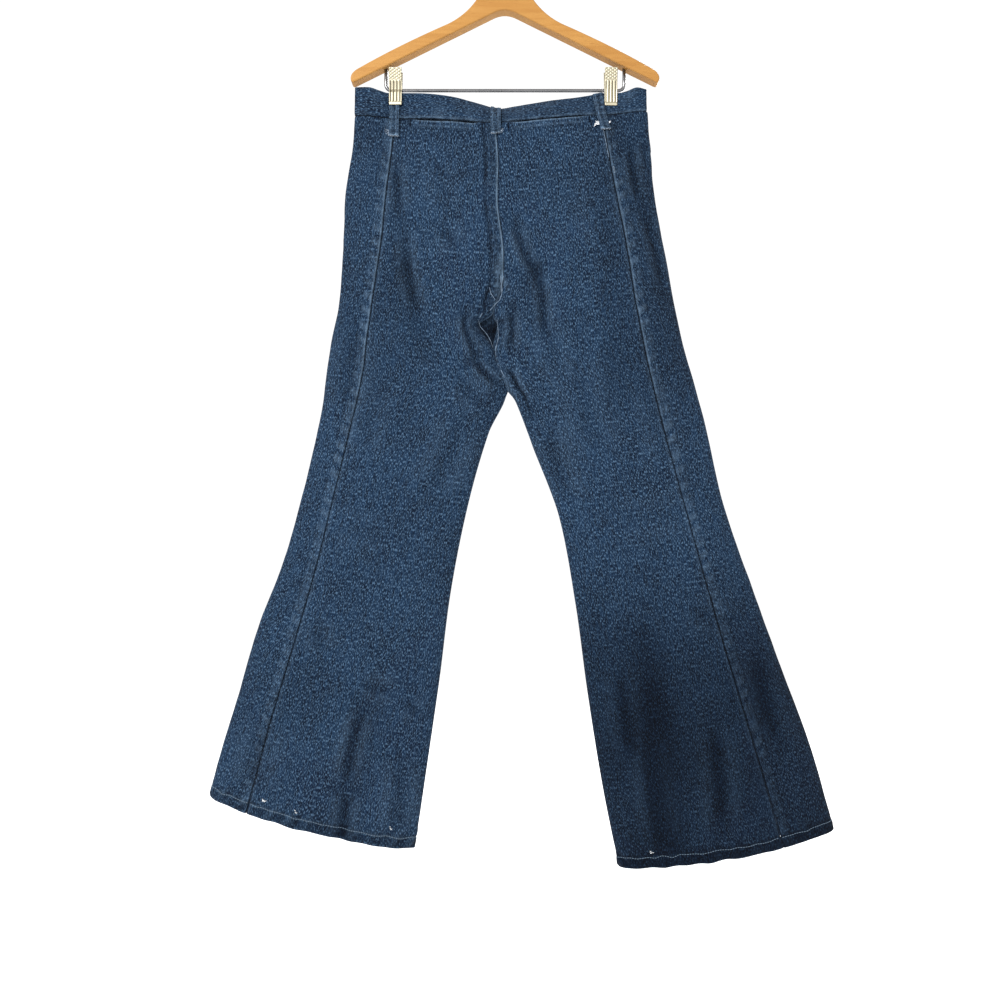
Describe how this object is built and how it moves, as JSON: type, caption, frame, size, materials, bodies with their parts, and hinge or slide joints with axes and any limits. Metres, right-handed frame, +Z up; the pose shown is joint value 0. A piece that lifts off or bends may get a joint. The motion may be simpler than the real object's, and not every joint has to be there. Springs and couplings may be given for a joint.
{
  "type": "flared jeans on a clip hanger",
  "caption": "Flared denim jeans hanging open-legged by the waistband from a wooden hanger with a hook, a bar and sliding clips.",
  "frame": {"origin": "the highest inside point of the hanger's hook, where the hook sits on a rail", "axes": "+Z up along the hanging garment, +Y from the back of the jeans towards their front, +X across, to the right when the back is looked at"},
  "size_m": [0.8854, 0.06, 1.3391],
  "materials": {
    "denim": "mid-indigo slubby twill, matt",
    "pocket_cloth": "dark navy cotton drill, matt",
    "thread": "blue cotton sewing thread",
    "zip": "dull brass on cotton tape",
    "button": "aged brass",
    "wood": "clear satin lacquer on light orange beech",
    "chrome": "bright plated steel"
  },
  "bodies": {
    "root": {"back_panel_left": "denim", "front_panel_left": "denim", "hem_left": "denim", "back_panel_right": "denim", "front_panel_right": "denim", "hem_right": "denim", "waistband": "denim", "fly_flap": "denim", "fly_zip": "zip", "waist_button": "button", "belt_loop_back_left": "denim", "belt_loop_back_centre": "denim", "belt_loop_back_right": "denim", "belt_loop_front_left": "denim", "belt_loop_front_right": "denim", "pocket_facing_left": "pocket_cloth", "pocket_facing_right": "pocket_cloth", "hanger_wood": "wood", "hanger_hook": "chrome", "hanger_bar": "chrome", "clip_left_back_jaw": "chrome", "clip_left_front_jaw": "chrome", "clip_left_sleeve": "chrome", "clip_right_back_jaw": "chrome", "clip_right_front_jaw": "chrome", "clip_right_sleeve": "chrome"}
  },
  "joints": []
}
